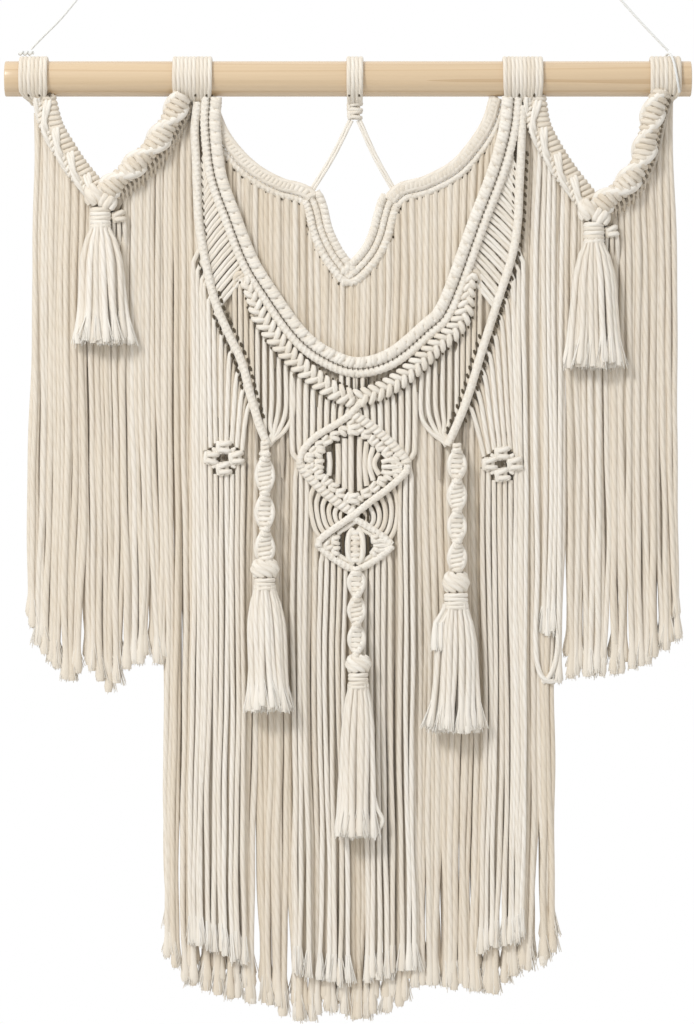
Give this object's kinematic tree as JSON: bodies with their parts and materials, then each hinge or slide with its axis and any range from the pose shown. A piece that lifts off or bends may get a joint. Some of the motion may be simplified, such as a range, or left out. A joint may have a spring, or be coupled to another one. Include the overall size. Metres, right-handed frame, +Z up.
{
  "type": "macrame wall hanging with wooden rod",
  "caption": "Knotted cotton wall hanging with a long fringed curtain, side swags, tassels and diamond knots, hung from a plain round wooden rod.",
  "frame": {"origin": "middle of the wooden rod, on its axis", "axes": "+X along the rod to the viewer's right, -Y towards the viewer, +Z up"},
  "size_m": [0.6, 0.0483, 0.9113],
  "materials": {
    "pine": "sanded, unvarnished",
    "cotton": "natural twisted cotton cord",
    "thread": "thin pale cord"
  },
  "bodies": {
    "root": {"collar_left": "cotton", "collar_right": "cotton", "collar_strands_left": "cotton", "collar_strands_right": "cotton", "curtain_left": "cotton", "curtain_right": "cotton", "curtain_vee_left": "cotton", "curtain_vee_right": "cotton", "diamond_button": "cotton", "diamond_large": "cotton", "diamond_large_strands_left": "cotton", "diamond_large_strands_right": "cotton", "diamond_small": "cotton", "diamond_small_strands_left": "cotton", "diamond_small_strands_right": "cotton", "diamond_strands": "cotton", "flower_left": "cotton", "flower_right": "cotton", "flower_strands_left": "cotton", "flower_strands_right": "cotton", "fringe_left_inner": "cotton", "fringe_left_outer": "cotton", "fringe_right_inner": "cotton", "fringe_right_outer": "cotton", "hanger_hitch_left": "thread", "hanger_hitch_right": "thread", "hanger_knot_left": "thread", "hanger_knot_right": "thread", "hanger_left": "thread", "hanger_right": "thread", "knot_row_left": "cotton", "knot_row_right": "cotton", "loops_centre": "cotton", "loops_end_left": "cotton", "loops_end_right": "cotton", "loops_inner_left": "cotton", "loops_inner_right": "cotton", "neck_arc_left": "cotton", "neck_arc_right": "cotton", "neck_vee_left": "cotton", "neck_vee_right": "cotton", "rod": "pine", "side_bar_left": "cotton", "side_bar_right": "cotton", "side_strands_left": "cotton", "side_strands_right": "cotton", "spiral_centre": "cotton", "spiral_left": "cotton", "spiral_right": "cotton", "swag_band_left": "cotton", "swag_band_right": "cotton", "swag_tassel_left": "cotton", "swag_tassel_right": "cotton", "swag_twist_left": "cotton", "swag_twist_right": "cotton", "tie_cord_left": "cotton", "tie_cord_right": "cotton", "tie_knot": "cotton"}
  },
  "joints": []
}
